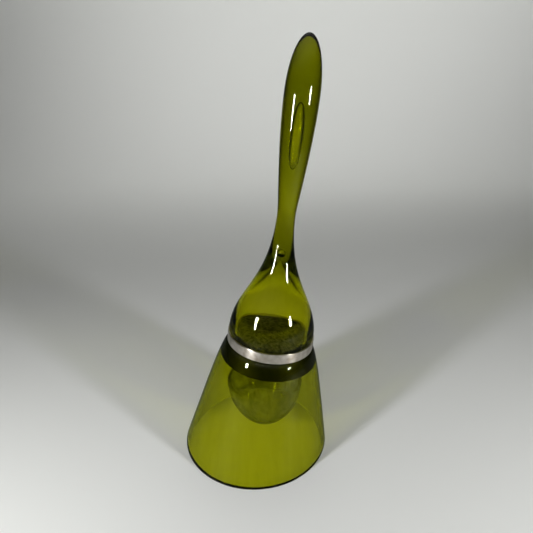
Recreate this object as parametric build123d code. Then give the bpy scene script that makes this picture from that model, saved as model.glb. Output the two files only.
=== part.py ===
from build123d import *
import os

# A blown glass hand bell: a solid glass handle that opens into a hollow bulb, a
# silver collar, a conical glass skirt closed at the neck by a dark bung, and a
# hollow glass clapper hung on a link inside the skirt.
# Every glass outline is turned about one axis, which leans towards +X.  The skirt
# is ground flat at the base, and the origin is the centre of that ground rim.
# Profile points are (radius, height along the leaning axis), in millimetres.

# Stance
lean = 6.7                  # lean of the glass axis from plumb, degrees
axis_shift = 1.6            # where the leaning axis meets the ground plane, along X

# Skirt
skirt_foot = (50.0, -11.8)  # start of the outline, below the ground plane
skirt_belly = (38.3, 36.1)
skirt_shoulder = (30.4, 75.4)
skirt_neck_radius = 25.6
skirt_wall = 2.6
skirt_top = 79.0

# Collar and the joint inside it
collar_radius = 26.95
collar_wall = 0.8
collar_low = 75.6
collar_high = 82.0
collar_edge = 0.35
seat_gap = 0.25             # the cement stops this far short of each collar edge
gasket_thickness = 0.8
gasket_hole = 21.8

# Handle and bulb, one piece of glass
foot_radius = 25.4
bulb_radius = 26.3
bulb_swell = (26.9, 104.6)
bulb_gather = (5.0, 115.4)
neck = (5.2, 158.3)
grip = (9.3, 218.7)
grip_rise = 26.0
neck_rise = 5.0
tip_rise = 19.0
tip_width = 4.6
tip_height = 248.4
cavity_radius = 22.8
cavity_swell = (26.2, 104.0)
cavity_gather = (10.5, 109.0)
cavity_top = 130.5
bead = (131.8, 136.8, 2.4)      # low end, high end, four thirds of its greatest radius
bubble = (183.0, 216.8, 3.4)    # the same for the long bubble

# Bung with its plumb recess
bung_low = 64.8
bung_clearance = 0.1
crown_radius = 21.6
crown_top = 82.0
crown_round = 0.8
recess_radius = 12.5
recess_top = 74.6           # height above the ground

# Hanger, link and clapper, hung plumb
hang_x = 6.8                # plumb line of the clapper
wire = 0.7                  # radius of every ring's wire
ring_radius = 2.5           # centre line of the eye and of the clapper's loop
link_straight = 2.6         # straight part of the link's long sides
play = 0.3                  # clearance between wires that hang on each other
eye_height = 70.4
shank_radius = 0.9
shank_length = 3.0
cap_radius = 7.0
cap_height = 3.4
cap_round = 1.4
clapper_neck = 6.2
clapper_radius = 24.2
clapper_middle = 46.5       # height of its greatest radius
clapper_low = 13.4
clapper_bulge = 0.51        # close to a quarter of an ellipse, a little more pointed
clapper_wall = 1.4
clapper_spigot = 1.2        # how far the clapper's neck goes up into its cap

gasket_low = skirt_top
gasket_high = gasket_low + gasket_thickness
collar_bore = collar_radius - collar_wall
skirt_neck_bore = skirt_neck_radius - skirt_wall

# The chain of wires from the eye down to the clapper's cap
eye_low = eye_height - ring_radius
link_top = eye_low + 2 * wire + play
link_low = link_top - 2 * ring_radius - link_straight
loop_top = link_low + 2 * wire + play
loop_height = loop_top - ring_radius
cap_top = loop_height - ring_radius
cap_low = cap_top - cap_height
clapper_top = cap_low + clapper_spigot

axis_place = Pos(axis_shift, 0, 0) * Rot(0, lean, 0)


def at(point):
    """A profile point (radius, height) in the XZ plane."""
    return (point[0], 0, point[1])


def turned(*curves):
    """Solid of revolution about Z from a closed chain of profile curves."""
    face = make_face(Wire(list(curves)))
    return revolve(face, Axis.Z)


def curve(*points):
    return Edge.make_bezier(*[at(point) for point in points])


def line(start, end):
    return Edge.make_line(at(start), at(end))


def ring(inner, outer, low, high):
    """Plain ring between two radii and two heights on the axis."""
    height = high - low
    return Pos(0, 0, low + height / 2) * (Cylinder(outer, height) - Cylinder(inner, height))


def skirt_outline(inset):
    """Outer outline of the skirt, moved inwards by inset."""
    end = (skirt_neck_radius - inset, skirt_shoulder[1])
    points = [skirt_foot, skirt_belly, skirt_shoulder]
    return [(radius - inset, height) for radius, height in points] + [end]


def skirt_body(inset, low, high):
    """Filled skirt shape between two heights on its axis."""
    points = skirt_outline(inset)
    end = points[-1]
    body = turned(
        curve(*points),
        line(end, (end[0], skirt_top)),
        line((end[0], skirt_top), (0, skirt_top)),
        line((0, skirt_top), (0, points[0][1])),
        line((0, points[0][1]), points[0]),
    )
    slab_height = high - low
    slab = Pos(0, 0, low + slab_height / 2) * Cylinder(2 * skirt_foot[0], slab_height)
    return body & slab


def above_ground(solid):
    """Grind a leaning solid flat at the ground plane."""
    size = 4 * skirt_foot[0]
    return solid & (Pos(0, 0, size / 2) * Box(size, size, size))


def make_skirt():
    outer = skirt_body(0, skirt_foot[1], skirt_top)
    inner = skirt_body(skirt_wall, skirt_foot[1], skirt_top)
    return above_ground(axis_place * (outer - inner))


def air_bubble(low, high, width):
    """Bubble on the axis, round at both ends."""
    side = curve((0, low), (width, low), (width, high), (0, high))
    return turned(side, line((0, high), (0, low)))


def make_handle_bulb():
    """Solid handle and hollow bulb, open at the foot, with a sealed bead and bubble."""
    bulb_start = (bulb_radius, collar_high)
    foot = (foot_radius, gasket_high)
    outer = turned(
        line((0, gasket_high), foot),
        line(foot, (foot_radius, collar_high)),
        line((foot_radius, collar_high), bulb_start),
        curve(bulb_start, bulb_swell, bulb_gather, neck),
        curve(neck, (neck[0], neck[1] + neck_rise), (grip[0], grip[1] - grip_rise), grip),
        curve(grip, (grip[0], grip[1] + tip_rise), (tip_width, tip_height), (0, tip_height)),
        line((0, tip_height), (0, gasket_high)),
    )
    cavity = turned(
        line((0, gasket_high), (cavity_radius, gasket_high)),
        curve((cavity_radius, gasket_high), cavity_swell, cavity_gather, (0, cavity_top)),
        line((0, cavity_top), (0, gasket_high)),
    )
    return axis_place * (outer - cavity - air_bubble(*bead) - air_bubble(*bubble))


def make_collar():
    band = ring(collar_bore, collar_radius, collar_low, collar_high)
    return axis_place * fillet(band.edges(), collar_edge)


def make_lower_seat():
    seat = ring(skirt_neck_radius, collar_bore, collar_low + seat_gap, gasket_low)
    return axis_place * seat


def make_upper_seat():
    seat = ring(foot_radius, collar_bore, gasket_high, collar_high - seat_gap)
    return axis_place * seat


def make_gasket():
    return axis_place * ring(gasket_hole, foot_radius, gasket_low, gasket_high)


def make_bung():
    """Tapered bung in the skirt's neck, with a low crown and a plumb recess from below."""
    crown_height = crown_top - skirt_top
    crown = Pos(0, 0, skirt_top + crown_height / 2) * Cylinder(crown_radius, crown_height)
    crown = fillet(crown.edges().group_by(Axis.Z)[-1], crown_round)
    body = axis_place * (skirt_body(skirt_wall + bung_clearance, bung_low, skirt_top) + crown)
    recess = Pos(hang_x, 0, recess_top / 2) * Cylinder(recess_radius, recess_top)
    shank = Pos(hang_x, 0, recess_top + shank_length / 2) * Cylinder(shank_radius, shank_length)
    return body - recess - shank


def make_hanger_eye():
    """Eye on a shank that is pressed into the bung."""
    eye = Rot(90, 0, 0) * Torus(ring_radius, wire)
    shank_low = ring_radius
    shank_high = recess_top + shank_length - eye_height
    height = shank_high - shank_low
    shank = Pos(0, 0, shank_low + height / 2) * Cylinder(shank_radius, height)
    return Pos(hang_x, 0, eye_height) * (eye + shank)


def half_turn(height, side):
    """Half circle in the YZ plane, over the top for side 1, under the bottom for -1."""
    start = (0, side * ring_radius, height)
    middle = (0, 0, height + side * ring_radius)
    end = (0, -side * ring_radius, height)
    return ThreePointArc(start, middle, end).edge()


def make_link():
    """Long ring in the YZ plane."""
    half = link_straight / 2
    path = Wire([
        Edge.make_line((0, ring_radius, -half), (0, ring_radius, half)),
        half_turn(half, 1),
        Edge.make_line((0, -ring_radius, half), (0, -ring_radius, -half)),
        half_turn(-half, -1),
    ])
    section = Plane(origin=(0, ring_radius, 0), z_dir=(0, 0, 1)) * Circle(wire)
    centre = (link_top + link_low) / 2
    return Pos(hang_x, 0, centre) * sweep(section, path)


def make_clapper_cap():
    """Metal cap with the loop that hangs on the link."""
    cap = Pos(0, 0, cap_top - cap_height / 2) * Cylinder(cap_radius, cap_height)
    cap = fillet(cap.edges().group_by(Axis.Z)[-1], cap_round)
    socket = Pos(0, 0, cap_low + clapper_spigot / 2) * Cylinder(clapper_neck, clapper_spigot)
    loop = Pos(0, 0, loop_height) * Rot(90, 0, 0) * Torus(ring_radius, wire)
    return Pos(hang_x, 0, 0) * (cap - socket + loop)


def clapper_shape(inset):
    """Filled clapper, with its sides and bottom moved inwards by inset."""
    radius = clapper_radius - inset
    throat = clapper_neck - inset
    low = clapper_low + inset
    drop = clapper_middle - low
    rise = cap_low - clapper_middle
    middle = (radius, clapper_middle)
    lower_side = (radius, clapper_middle - clapper_bulge * drop)
    upper_side = (radius, clapper_middle + 0.65 * rise)
    neck_side = (throat, cap_low - 0.1 * rise)
    return turned(
        curve((0, low), (clapper_bulge * radius, low), lower_side, middle),
        curve(middle, upper_side, neck_side, (throat, cap_low)),
        line((throat, cap_low), (throat, clapper_top)),
        line((throat, clapper_top), (0, clapper_top)),
        line((0, clapper_top), (0, low)),
    )


def make_clapper():
    """Hollow glass clapper: a deep bowl below, drawn in to a neck under the cap."""
    return Pos(hang_x, 0, 0) * (clapper_shape(0) - clapper_shape(clapper_wall))


def main():
    nodes = {
        "handle_bulb": make_handle_bulb(),
        "collar": make_collar(),
        "upper_seat": make_upper_seat(),
        "lower_seat": make_lower_seat(),
        "joint_gasket": make_gasket(),
        "neck_bung": make_bung(),
        "skirt": make_skirt(),
        "hanger_eye": make_hanger_eye(),
        "clapper_link": make_link(),
        "clapper_cap": make_clapper_cap(),
        "clapper": make_clapper(),
    }
    os.makedirs("parts", exist_ok=True)
    for name, solid in nodes.items():
        export_step(solid, f"parts/{name}.step")


main()
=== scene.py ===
import math

import bpy
from mathutils import Matrix, Vector

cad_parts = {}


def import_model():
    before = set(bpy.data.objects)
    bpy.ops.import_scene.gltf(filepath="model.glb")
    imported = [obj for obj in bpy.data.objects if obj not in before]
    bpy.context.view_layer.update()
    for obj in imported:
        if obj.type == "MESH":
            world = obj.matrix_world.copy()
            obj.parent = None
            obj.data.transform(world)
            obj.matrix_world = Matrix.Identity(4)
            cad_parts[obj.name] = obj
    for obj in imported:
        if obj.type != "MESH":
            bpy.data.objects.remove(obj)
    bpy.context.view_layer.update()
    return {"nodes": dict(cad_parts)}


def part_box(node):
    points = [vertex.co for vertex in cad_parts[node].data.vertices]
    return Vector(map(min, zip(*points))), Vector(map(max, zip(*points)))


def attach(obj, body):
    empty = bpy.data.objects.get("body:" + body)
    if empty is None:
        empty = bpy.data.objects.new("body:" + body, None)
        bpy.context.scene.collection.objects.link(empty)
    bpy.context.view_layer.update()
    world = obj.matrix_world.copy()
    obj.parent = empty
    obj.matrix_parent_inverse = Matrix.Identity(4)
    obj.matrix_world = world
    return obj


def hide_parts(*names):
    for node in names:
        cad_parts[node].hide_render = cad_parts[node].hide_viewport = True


# A green glass hand bell.  The glass pieces and the collar are turned here as fine
# meshes from the outlines of the CAD; every other piece is the CAD solid itself and
# gets its material here.  The sizes of the bell are in millimetres, and the stage,
# the lights and the camera are in metres.

MM = 0.001
SEGMENTS = 160           # round every turned piece

# Stance and outlines of the glass, as in the CAD: (radius, height on the axis)
LEAN = math.radians(6.7)
AXIS_SHIFT = 1.6
SKIRT_OUTLINE = [(50.0, -11.8), (38.3, 36.1), (30.4, 75.4), (25.6, 75.4)]
SKIRT_WALL = 2.8         # 0.2 more than the CAD's, to leave no air between it and the bung
SKIRT_TOP = 79.0
FOOT_RADIUS = 25.4
FOOT_LOW = 79.8
COLLAR_HIGH = 82.0
COLLAR_LOW = 75.6
COLLAR_RADIUS = 26.95
COLLAR_BORE = 26.15
BULB_OUTLINE = [(26.3, 82.0), (26.9, 104.6), (5.0, 115.4), (5.2, 158.3)]
GRIP_OUTLINE = [(5.2, 158.3), (5.2, 163.3), (9.3, 192.7), (9.3, 218.7)]
TIP_OUTLINE = [(9.3, 218.7), (9.3, 237.7), (4.6, 248.4), (0.0, 248.4)]
CAVITY_OUTLINE = [(22.8, 79.8), (26.2, 104.0), (10.5, 109.0), (0.0, 130.5)]
BEAD_OUTLINE = [(0.0, 131.8), (2.4, 131.8), (2.4, 136.8), (0.0, 136.8)]
BUBBLE_OUTLINE = [(0.0, 183.0), (3.4, 183.0), (3.4, 216.8), (0.0, 216.8)]
GLASS_EDGE = 0.4         # rounding of the edges hidden in the collar
RIM_OUTER_EDGE = 0.1     # rounding of the ground rim
RIM_INNER_EDGE = 0.3
COLLAR_EDGE = 0.35

# Camera: place and tilt, lens for a square frame on the default 36 mm sensor
CAMERA_PLACE = (0.00855, -0.2389, 0.2237)
CAMERA_TILT = math.radians(67.5)
CAMERA_ROLL = math.radians(-0.5)
CAMERA_LENS = 29.72


def make_camera():
    """Camera at the photograph's viewing angle."""
    data = bpy.data.cameras.new("camera")
    data.lens = CAMERA_LENS
    data.clip_start = 0.01
    camera = bpy.data.objects.new("camera", data)
    turn = Matrix.Rotation(CAMERA_TILT, 4, "X") @ Matrix.Rotation(CAMERA_ROLL, 4, "Z")
    camera.matrix_world = Matrix.Translation(CAMERA_PLACE) @ turn
    bpy.context.scene.collection.objects.link(camera)
    bpy.context.scene.camera = camera


# --- mesh helpers ---------------------------------------------------------------

def bezier(points, steps):
    """Points along a cubic curve given by its four control points."""
    a, b, c, d = [Vector(point) for point in points]
    out = []
    for step in range(steps + 1):
        u = step / steps
        v = 1 - u
        out.append(v * v * v * a + 3 * u * v * v * b + 3 * u * u * v * c + u * u * u * d)
    return [(point.x, point.y) for point in out]


def rounded_corner(before, corner, after, radius, steps=4):
    """Points that round one corner of a profile, leaving it by radius on each side."""
    corner = Vector(corner)
    start = corner + (Vector(before) - corner).normalized() * radius
    end = corner + (Vector(after) - corner).normalized() * radius
    out = []
    for step in range(steps + 1):
        u = step / steps
        out.append(tuple((1 - u) ** 2 * start + 2 * u * (1 - u) * corner + u * u * end))
    return out


def new_object(name, vertices, faces):
    """Smooth-shaded mesh object in the scene."""
    mesh = bpy.data.meshes.new(name)
    mesh.from_pydata(vertices, [], faces)
    mesh.validate()
    mesh.update()
    for polygon in mesh.polygons:
        polygon.use_smooth = True
    obj = bpy.data.objects.new(name, mesh)
    bpy.context.scene.collection.objects.link(obj)
    return obj


def turned_faces(profiles, closed):
    """Faces of a surface of revolution, from one profile of indices per segment."""
    faces = []
    count = len(profiles)
    for i in range(count):
        here = profiles[i]
        there = profiles[(i + 1) % count]
        length = len(here)
        last = length if closed else length - 1
        for j in range(last):
            k = (j + 1) % length
            corners = [here[j], there[j], there[k], here[k]]
            corners = list(dict.fromkeys(corners))
            if len(corners) > 2:
                faces.append(corners)
    return faces


def lathe(chains, place):
    """Vertices and faces of profiles turned about Z, then moved to their place.

    A chain is (points, closed); its points may be a function of the angle.
    """
    vertices = []
    faces = []
    for points, closed in chains:
        poles = {}
        rows = []
        for segment in range(SEGMENTS):
            angle = 2 * math.pi * segment / SEGMENTS
            row = []
            chain = points(angle) if callable(points) else points
            for index, (radius, height) in enumerate(chain):
                if radius < 1e-6:
                    if index not in poles:
                        poles[index] = len(vertices)
                        vertices.append(place @ Vector((0, 0, height * MM)))
                    row.append(poles[index])
                    continue
                row.append(len(vertices))
                x = radius * math.cos(angle) * MM
                y = radius * math.sin(angle) * MM
                vertices.append(place @ Vector((x, y, height * MM)))
            rows.append(row)
        faces += turned_faces(rows, closed)
    return vertices, faces


AXIS_PLACE = Matrix.Translation((AXIS_SHIFT * MM, 0, 0)) @ Matrix.Rotation(LEAN, 4, "Y")


def finish_piece(obj, body, material, node):
    """Give a piece its material, its body and the CAD node it replaces."""
    obj.data.materials.append(material)
    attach(obj, body)
    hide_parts(node)


# --- shader nodes ---------------------------------------------------------------

def math_node(nodes, links, operation, first, second):
    """Math node on two sockets, or on a socket and a number; returns its output."""
    node = nodes.new("ShaderNodeMath")
    node.operation = operation
    links.new(first, node.inputs[0])
    if isinstance(second, float):
        node.inputs[1].default_value = second
    else:
        links.new(second, node.inputs[1])
    return node.outputs["Value"]


def map_range(nodes, links, value, low, high, first, second):
    """Number that goes from first at the value low to second at the value high."""
    node = nodes.new("ShaderNodeMapRange")
    node.inputs["From Min"].default_value = low
    node.inputs["From Max"].default_value = high
    node.inputs["To Min"].default_value = first
    node.inputs["To Max"].default_value = second
    links.new(value, node.inputs["Value"])
    return node.outputs["Result"]


def colour_ramp(nodes, links, value, low, high, first, second):
    """Colour that goes from first at the value low to second at the value high."""
    node = nodes.new("ShaderNodeValToRGB")
    ends = node.color_ramp.elements
    ends[0].position = low
    ends[0].color = (*first, 1)
    ends[1].position = high
    ends[1].color = (*second, 1)
    links.new(value, node.inputs["Fac"])
    return node.outputs["Color"]


def mixed_colour(nodes, links, amount, first, second):
    """Mix of two fixed colours."""
    node = nodes.new("ShaderNodeMix")
    node.data_type = "RGBA"
    node.inputs["A"].default_value = (*first, 1)
    node.inputs["B"].default_value = (*second, 1)
    links.new(amount, node.inputs["Factor"])
    return node.outputs["Result"]


def mixed_value(nodes, links, amount, first, second):
    """Mix of a socket with another socket or with a number."""
    node = nodes.new("ShaderNodeMix")
    node.data_type = "FLOAT"
    links.new(amount, node.inputs["Factor"])
    links.new(first, node.inputs["A"])
    if isinstance(second, float):
        node.inputs["B"].default_value = second
    else:
        links.new(second, node.inputs["B"])
    return node.outputs["Result"]


def noise_node(nodes, links, vector, scale, detail):
    """Noise texture on the given coordinates; returns its factor."""
    noise = nodes.new("ShaderNodeTexNoise")
    noise.inputs["Scale"].default_value = scale
    noise.inputs["Detail"].default_value = detail
    links.new(vector, noise.inputs["Vector"])
    return noise.outputs["Fac"]


def bump_from(nodes, links, shader, height, strength, distance):
    """Bump on the shader, raised by a value."""
    bump = nodes.new("ShaderNodeBump")
    bump.inputs["Strength"].default_value = strength
    bump.inputs["Distance"].default_value = distance
    links.new(height, bump.inputs["Height"])
    links.new(bump.outputs["Normal"], shader.inputs["Normal"])


def mirror_ray(nodes, links):
    """1 for a ray that was mirrored by glass, 0 for any other."""
    path = nodes.new("ShaderNodeLightPath").outputs
    return math_node(nodes, links, "MULTIPLY", path["Is Singular Ray"], path["Is Reflection Ray"])


# --- materials ------------------------------------------------------------------

def new_material(name):
    """New material with its nodes, its links and its main shader."""
    material = bpy.data.materials.new(name)
    material.use_nodes = True
    nodes = material.node_tree.nodes
    return material, nodes, material.node_tree.links, nodes["Principled BSDF"]


def glass_material(name, tint, density, waviness, streak):
    """Olive green blown glass: tinted by its depth, faintly wavy, streaked upwards."""
    material, nodes, links, shader = new_material(name)
    local = nodes.new("ShaderNodeTexCoord").outputs["Object"]
    stretch = nodes.new("ShaderNodeMapping")
    stretch.inputs["Scale"].default_value = (260, 260, 18)
    links.new(local, stretch.inputs["Vector"])
    streaks = noise_node(nodes, links, stretch.outputs["Vector"], scale=1.0, detail=3.0)
    colour = colour_ramp(nodes, links, streaks, 0.3, 0.6, (streak, streak, streak), (1, 1, 1))
    links.new(colour, shader.inputs["Base Color"])
    shader.inputs["Transmission Weight"].default_value = 1.0
    shader.inputs["Roughness"].default_value = 0.0
    shader.inputs["IOR"].default_value = 1.5
    shader.inputs["Specular Tint"].default_value = (1, 1, 0.8, 1)
    waves = noise_node(nodes, links, local, scale=60.0, detail=2.0)
    bump_from(nodes, links, shader, waves, strength=waviness, distance=0.0006)
    # shadow rays go straight through the surface, and the depth tints them
    output = nodes["Material Output"]
    clear = nodes.new("ShaderNodeBsdfTransparent")
    clear.inputs["Color"].default_value = (0.95, 0.95, 0.95, 1)
    path = nodes.new("ShaderNodeLightPath")
    mix = nodes.new("ShaderNodeMixShader")
    links.new(path.outputs["Is Shadow Ray"], mix.inputs["Fac"])
    links.new(shader.outputs["BSDF"], mix.inputs[1])
    links.new(clear.outputs["BSDF"], mix.inputs[2])
    links.new(mix.outputs["Shader"], output.inputs["Surface"])
    absorption = nodes.new("ShaderNodeVolumeAbsorption")
    absorption.inputs["Color"].default_value = (*tint, 1)
    absorption.inputs["Density"].default_value = density
    links.new(absorption.outputs["Volume"], output.inputs["Volume"])
    return material


def silver_material():
    """Worn silver plate: soft tarnish patches, fine scratches that run round the band."""
    tarnished = (0.30, 0.265, 0.22)
    clean = (0.56, 0.53, 0.48)
    material, nodes, links, shader = new_material("worn_silver")
    shader.inputs["Metallic"].default_value = 1.0
    shader.inputs["Anisotropic"].default_value = 0.85
    shader.inputs["Anisotropic Rotation"].default_value = 0.25
    tangent = nodes.new("ShaderNodeTangent")
    tangent.direction_type = "RADIAL"
    tangent.axis = "Z"
    links.new(tangent.outputs["Tangent"], shader.inputs["Tangent"])
    local = nodes.new("ShaderNodeTexCoord").outputs["Object"]
    upright = nodes.new("ShaderNodeMapping")
    upright.inputs["Rotation"].default_value = (0, -LEAN, 0)
    stretch = nodes.new("ShaderNodeMapping")
    stretch.inputs["Scale"].default_value = (30, 30, 5000)
    links.new(local, upright.inputs["Vector"])
    links.new(upright.outputs["Vector"], stretch.inputs["Vector"])
    scratches = noise_node(nodes, links, stretch.outputs["Vector"], scale=1.0, detail=3.0)
    patches = noise_node(nodes, links, local, scale=160.0, detail=3.0)
    colour = colour_ramp(nodes, links, patches, 0.35, 0.65, tarnished, clean)
    links.new(colour, shader.inputs["Base Color"])
    roughness = map_range(nodes, links, scratches, 0.0, 1.0, 0.26, 0.40)
    links.new(roughness, shader.inputs["Roughness"])
    bump_from(nodes, links, shader, scratches, strength=0.12, distance=0.0001)
    return material


def plain_material(name, dark, pale, scale, roughness, metallic=0.0):
    """Mottled material between two colours, with a fine bump of the same grain."""
    material, nodes, links, shader = new_material(name)
    shader.inputs["Metallic"].default_value = metallic
    shader.inputs["Roughness"].default_value = roughness
    local = nodes.new("ShaderNodeTexCoord").outputs["Object"]
    grain = noise_node(nodes, links, local, scale=scale, detail=4.0)
    bump_from(nodes, links, shader, grain, strength=0.25, distance=0.0002)
    colour = colour_ramp(nodes, links, grain, 0.3, 0.7, dark, pale)
    links.new(colour, shader.inputs["Base Color"])
    return material


def rubber_material():
    """Near-black rubber of the bung and the gasket, with painted light: paler in mottled patches on
    the crown, where the key lights fall on it through the bulb.
    """
    dark = (0.004, 0.005, 0.006)
    crown_painted_light = (0.10, 0.10, 0.085)
    painted_light_low = 77.5 * MM
    painted_light_high = SKIRT_TOP * MM
    material, nodes, links, shader = new_material("dark_rubber")
    shader.inputs["Roughness"].default_value = 0.5
    shader.inputs["Specular IOR Level"].default_value = 0.1
    local = nodes.new("ShaderNodeTexCoord").outputs["Object"]
    grain = noise_node(nodes, links, local, scale=500.0, detail=4.0)
    bump_from(nodes, links, shader, grain, strength=0.2, distance=0.0002)
    # painted light: from 77.5 mm up to the top of the skirt the rubber turns paler in mottled
    # patches, standing in for the key lights falling on the crown
    split = nodes.new("ShaderNodeSeparateXYZ")
    links.new(local, split.inputs["Vector"])
    height = map_range(nodes, links, split.outputs["Z"], painted_light_low, painted_light_high, 0.0, 1.0)
    mottle = map_range(nodes, links, grain, 0.38, 0.66, 0.0, 1.0)
    crown_light_mask = math_node(nodes, links, "MULTIPLY", height, mottle)
    links.new(mixed_colour(nodes, links, crown_light_mask, dark, crown_painted_light), shader.inputs["Base Color"])
    return material


# --- pieces ---------------------------------------------------------------------

def above_ground(points, angle):
    """The part of an outline of the skirt that is above the ground at one angle."""
    tilt = math.sin(LEAN) * math.cos(angle)
    level = [height * math.cos(LEAN) - radius * tilt for radius, height in points]
    first = next(i for i, value in enumerate(level) if value > 0)
    share = -level[first - 1] / (level[first] - level[first - 1])
    low = Vector(points[first - 1]).lerp(Vector(points[first]), share)
    return [tuple(low)] + points[first:]


def evenly_spaced(chain, steps):
    """Points at equal distances along a chain, the same number for any chain."""
    lengths = [0.0]
    for a, b in zip(chain, chain[1:]):
        lengths.append(lengths[-1] + (Vector(b) - Vector(a)).length)
    out = []
    for step in range(steps + 1):
        want = lengths[-1] * step / steps
        i = max(k for k in range(len(lengths)) if lengths[k] <= want + 1e-9)
        i = min(i, len(chain) - 2)
        share = (want - lengths[i]) / (lengths[i + 1] - lengths[i])
        out.append(tuple(Vector(chain[i]).lerp(Vector(chain[i + 1]), share)))
    return out


def skirt_side(inset, angle):
    """Outline of the skirt moved inwards by inset, from the ground up, at one angle."""
    curve_steps = 60
    rows = 40
    outline = [(radius - inset, height) for radius, height in SKIRT_OUTLINE]
    return evenly_spaced(above_ground(bezier(outline, curve_steps), angle), rows)


def skirt_profile(angle):
    """Closed profile of the skirt's wall at one angle, cut off level at the ground."""
    outer = skirt_side(0, angle)
    inner = skirt_side(SKIRT_WALL, angle)
    neck_radius = SKIRT_OUTLINE[-1][0]
    outer_top = (neck_radius, SKIRT_TOP)
    inner_top = (neck_radius - SKIRT_WALL, SKIRT_TOP)
    foot_outer = rounded_corner(inner[0], outer[0], outer[1], RIM_OUTER_EDGE, 3)
    foot_inner = rounded_corner(inner[1], inner[0], outer[0], RIM_INNER_EDGE)
    top_outer = rounded_corner(outer[-1], outer_top, inner_top, GLASS_EDGE)
    top_inner = rounded_corner(outer_top, inner_top, inner[-1], GLASS_EDGE)
    return foot_outer + outer[1:] + top_outer + top_inner + inner[:0:-1] + foot_inner


def make_skirt(material):
    """Conical skirt, open below and at the neck."""
    vertices, faces = lathe([(skirt_profile, True)], AXIS_PLACE)
    obj = new_object("glass_skirt", vertices, faces)
    finish_piece(obj, "bell", material, "skirt")


def make_handle_bulb(material):
    """Solid handle and hollow bulb, with a sealed bead and a long bubble inside."""
    foot = (FOOT_RADIUS, FOOT_LOW)
    outer = [(CAVITY_OUTLINE[0][0], FOOT_LOW)]
    outer += rounded_corner(outer[0], foot, (FOOT_RADIUS, COLLAR_HIGH), GLASS_EDGE)
    outer += bezier(BULB_OUTLINE, 48)
    outer += bezier(GRIP_OUTLINE, 32)[1:]
    outer += bezier(TIP_OUTLINE, 20)[1:]
    cavity = bezier(CAVITY_OUTLINE, 48)
    chain = cavity[:0:-1] + outer
    bead = bezier(BEAD_OUTLINE, 16)[::-1]
    bubble = bezier(BUBBLE_OUTLINE, 32)[::-1]
    vertices, faces = lathe([(chain, False), (bead, False), (bubble, False)], AXIS_PLACE)
    obj = new_object("glass_handle_bulb", vertices, faces)
    finish_piece(obj, "bell", material, "handle_bulb")


def make_collar(material):
    """Plain band with rounded edges."""
    corners = [
        (COLLAR_BORE, COLLAR_LOW),
        (COLLAR_RADIUS, COLLAR_LOW),
        (COLLAR_RADIUS, COLLAR_HIGH),
        (COLLAR_BORE, COLLAR_HIGH),
    ]
    profile = []
    for i, corner in enumerate(corners):
        profile += rounded_corner(corners[i - 1], corner, corners[(i + 1) % 4], COLLAR_EDGE)
    vertices, faces = lathe([(profile, True)], AXIS_PLACE)
    obj = new_object("silver_collar", vertices, faces)
    finish_piece(obj, "bell", material, "collar")


def clapper_side(inset, low, high):
    """Outline of the clapper, with its sides and bottom moved inwards by inset."""
    radius = 24.2 - inset
    middle = 46.5            # height of the greatest radius
    throat = 6.2 - inset
    spigot = 1.2             # how far the neck goes up into the cap
    bulge = 0.51             # close to a quarter of an ellipse, a little more pointed
    shoulder = 0.65          # how full the upper side is
    flare = 0.1              # how soon the neck flares
    bottom = low + inset
    neck = high - spigot
    drop = middle - bottom
    rise = neck - middle
    lower = [(0, bottom), (bulge * radius, bottom), (radius, middle - bulge * drop), (radius, middle)]
    upper = [(radius, middle), (radius, middle + shoulder * rise), (throat, neck - flare * rise)]
    upper.append((throat, neck))
    return bezier(lower, 32) + bezier(upper, 24)[1:] + [(throat, high)]


def make_clapper(material, hang_x, low, high):
    """Hollow glass clapper, a deep bowl drawn in to a neck, hung plumb."""
    wall = 1.4
    chain = clapper_side(0, low, high) + clapper_side(wall, low, high)[::-1]
    place = Matrix.Translation((hang_x * MM, 0, 0))
    vertices, faces = lathe([(chain, False)], place)
    obj = new_object("glass_clapper", vertices, faces)
    finish_piece(obj, "clapper", material, "clapper")


# --- stage ----------------------------------------------------------------------

def make_floor():
    """Pale floor that sweeps up into a wall behind.

    It is darker to the glass's mirror rays, like the dark surroundings of a studio.
    """
    width = 1.6
    front = -1.3
    bend = 0.75
    radius = 0.45
    height = 1.6
    steps = 16
    under = -0.00005        # just clear of the rim, so that the two faces don't coincide
    profile = [(front, under), (bend, under)]
    for step in range(1, steps + 1):
        angle = math.pi / 2 * step / steps
        y = bend + radius * math.sin(angle)
        profile.append((y, under + radius - radius * math.cos(angle)))
    profile.append((bend + radius, height))
    vertices = []
    for y, z in profile:
        vertices += [(-width, y, z), (width, y, z)]
    faces = [(2 * i, 2 * i + 1, 2 * i + 3, 2 * i + 2) for i in range(len(profile) - 1)]
    floor = new_object("floor", vertices, faces)
    material, nodes, links, shader = new_material("pale_floor")
    shader.inputs["Roughness"].default_value = 0.7
    shader.inputs["Specular IOR Level"].default_value = 0.2
    pale = (0.80, 0.81, 0.78)
    dark = (0.11, 0.12, 0.11)
    colour = mixed_colour(nodes, links, mirror_ray(nodes, links), pale, dark)
    links.new(colour, shader.inputs["Base Color"])
    floor.data.materials.append(material)


def area_light(name, place, aim, size, power, spread=180):
    """Rectangular light at a place, turned towards a point."""
    data = bpy.data.lights.new(name, "AREA")
    data.shape = "RECTANGLE"
    data.size, data.size_y = size
    data.energy = power
    data.spread = math.radians(spread)
    light = bpy.data.objects.new(name, data)
    light.location = place
    light.rotation_euler = (Vector(aim) - Vector(place)).to_track_quat("-Z", "Y").to_euler()
    bpy.context.scene.collection.objects.link(light)


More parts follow.
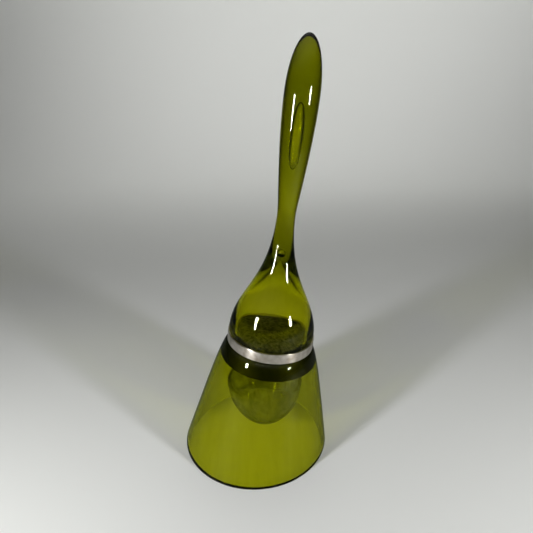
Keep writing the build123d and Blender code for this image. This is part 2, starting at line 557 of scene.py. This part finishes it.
def make_lights():
    """Two small key lights in front, and washes on the wall, the floor and the front."""
    bell_middle = (0, 0, 0.1)
    area_light("key_left", (-0.311, -0.292, 0.213), bell_middle, size=(0.048, 0.105), power=1.67)
    area_light("key_right", (0.4255, -0.354, 0.182), bell_middle, size=(0.060, 0.083), power=2.35)
    area_light(
        "back_wash", (0.28, 0.75, 0.95), (0.18, 1.2, 0.45), size=(1.8, 0.3), power=4.2, spread=130
    )
    area_light(
        "floor_wash", (0.08, 0.5, 1.0), (0.08, 0.55, 0), size=(0.6, 0.3), power=0.23, spread=80
    )
    area_light(
        "front_wash", (0, -0.85, 0.9), (0, -0.85, 0), size=(2.2, 0.4), power=2.6, spread=90
    )


def make_world():
    """Dim room, paler behind.

    The glass mirrors a ceiling, and the room is pale where it is looked at directly
    or straight through the glass.
    """
    pale = 0.42
    world = bpy.data.worlds.new("studio")
    world.use_nodes = True
    nodes = world.node_tree.nodes
    links = world.node_tree.links
    coordinates = nodes.new("ShaderNodeTexCoord")
    split = nodes.new("ShaderNodeSeparateXYZ")
    links.new(coordinates.outputs["Generated"], split.inputs["Vector"])
    dim = map_range(nodes, links, split.outputs["Y"], -0.1, 0.8, 0.01, 0.12)
    ceiling = map_range(nodes, links, split.outputs["Z"], 0.3, 0.9, 0.01, 0.30)
    room = mixed_value(nodes, links, mirror_ray(nodes, links), dim, ceiling)
    path = nodes.new("ShaderNodeLightPath").outputs
    through = math_node(nodes, links, "MAXIMUM", path["Is Camera Ray"], path["Is Transmission Ray"])
    straight = math_node(nodes, links, "LESS_THAN", path["Glossy Depth"], 0.5)
    seen = math_node(nodes, links, "MULTIPLY", through, straight)
    colour = mixed_value(nodes, links, seen, room, pale)
    links.new(colour, nodes["Background"].inputs["Color"])
    bpy.context.scene.world = world


def set_light_paths():
    """Plain colours, no caustics, and enough bounces for light in nested glass."""
    bounces = 24
    scene = bpy.context.scene
    scene.view_settings.view_transform = "Standard"
    scene.cycles.caustics_refractive = False
    scene.cycles.caustics_reflective = False
    scene.cycles.max_bounces = bounces
    scene.cycles.transmission_bounces = bounces
    scene.cycles.transparent_max_bounces = bounces


def main():
    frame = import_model()
    make_camera()
    green = glass_material(
        "olive_glass", tint=(0.910, 0.916, 0.0), density=1280.0, waviness=0.02, streak=0.93
    )
    handle_green = glass_material(
        "handle_olive_glass", tint=(0.905, 0.910, 0.0), density=1080.0, waviness=0.02, streak=0.96
    )
    clapper_green = glass_material(
        "clapper_olive_glass", tint=(0.905, 0.910, 0.0), density=2300.0, waviness=0.05, streak=0.70
    )
    silver = silver_material()
    rubber = rubber_material()
    cement = plain_material(
        "pale_cement", dark=(0.42, 0.39, 0.33), pale=(0.62, 0.58, 0.50), scale=900.0, roughness=0.9
    )
    metal = plain_material(
        "wire_metal", dark=(0.35, 0.33, 0.29), pale=(0.62, 0.60, 0.55), scale=1500.0, roughness=0.3,
        metallic=1.0,
    )
    make_skirt(green)
    make_handle_bulb(handle_green)
    make_collar(silver)
    low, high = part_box("clapper")
    centre = (low.x + high.x) / 2 / MM
    make_clapper(clapper_green, centre, low.z / MM, high.z / MM)
    dressed = {
        "neck_bung": rubber,
        "joint_gasket": rubber,
        "upper_seat": cement,
        "lower_seat": cement,
        "hanger_eye": metal,
        "clapper_link": metal,
        "clapper_cap": metal,
    }
    for name, material in dressed.items():
        for slot in frame["nodes"][name].material_slots:
            slot.material = material
    make_floor()
    make_lights()
    make_world()
    set_light_paths()


main()
